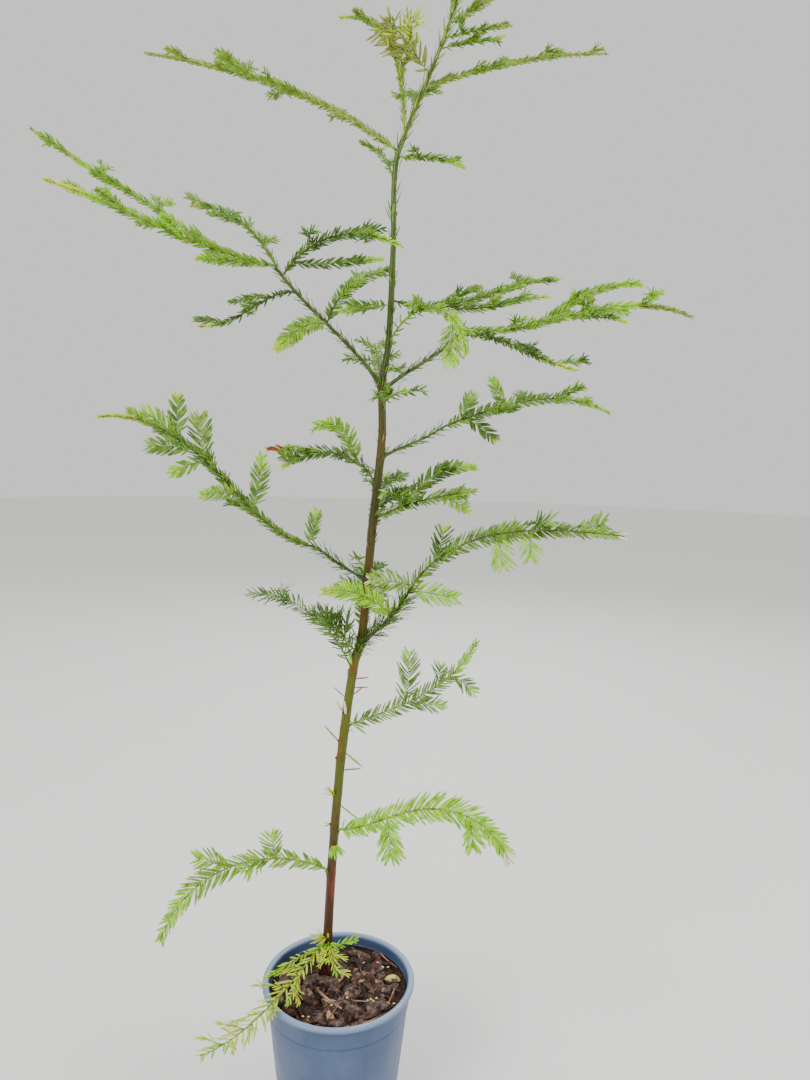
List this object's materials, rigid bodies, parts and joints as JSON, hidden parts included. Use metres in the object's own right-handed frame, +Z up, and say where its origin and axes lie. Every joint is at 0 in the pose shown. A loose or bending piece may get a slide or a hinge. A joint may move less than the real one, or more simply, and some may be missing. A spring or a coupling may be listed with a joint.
{
  "type": "potted coast redwood sapling",
  "caption": "Young coast redwood with a slender S-curved stem, arching boughs and flat sprays of needles, in a round blue-grey plastic nursery pot filled with bark mulch.",
  "frame": {"origin": "centre of the pot's flat underside", "axes": "+Z up along the stem, +X to the viewer's right in the picture, +Y away from the viewer"},
  "size_m": [0.6302, 0.3662, 1.2917],
  "materials": {
    "pot_plastic": "smooth moulded polypropylene, slate blue-grey",
    "bark_mulch": "rough, damp bark chips",
    "stem_bark": "thin green-brown young bark, red-brown at the foot",
    "bough_bark": "smooth green young bark",
    "needles": "waxy mid-green needles",
    "young_needles": "waxy yellow-green new needles"
  },
  "bodies": {
    "root": {"pot": "pot_plastic", "mulch": "bark_mulch", "stem": "stem_bark", "bough_left": "bough_bark", "bough_right": "bough_bark", "bough_mid_right": "bough_bark", "bough_low_left": "bough_bark", "bough_low_right": "bough_bark", "foliage_leader_tip": "needles", "foliage_crown_left": "needles", "foliage_crown_right": "needles", "foliage_crown_back": "needles", "foliage_crown_front": "needles", "foliage_top_right_up": "needles", "foliage_top_right_mid": "needles", "foliage_top_right_low": "needles", "foliage_top_fan": "needles", "foliage_top_right_long": "needles", "foliage_top_back": "needles", "foliage_twin_leader": "needles", "foliage_short_right": "needles", "foliage_long_left": "needles", "foliage_short_left": "needles", "foliage_upper_right": "needles", "foliage_upper_left": "needles", "foliage_upper_front": "needles", "foliage_whorl_back": "needles", "foliage_whorl_front": "needles", "foliage_left_back": "needles", "foliage_left_face": "needles", "foliage_left_droop": "needles", "foliage_left_inner": "needles", "foliage_left_crest": "needles", "foliage_left_long": "needles", "foliage_right_long": "needles", "foliage_right_droop": "needles", "foliage_mid_right": "needles", "foliage_mid_left": "needles", "foliage_mid_front": "needles", "foliage_mid_back": "needles", "foliage_low_left": "needles", "foliage_low_right": "needles", "foliage_low_frond": "needles", "foliage_node_tuft": "needles", "foliage_node_back": "needles", "foliage_base_left": "needles", "foliage_base_right": "needles", "foliage_foot_right": "needles", "foliage_foot_left": "needles", "foliage_basal_long": "young_needles", "foliage_basal_front": "young_needles", "foliage_basal_right": "young_needles"}
  },
  "joints": []
}
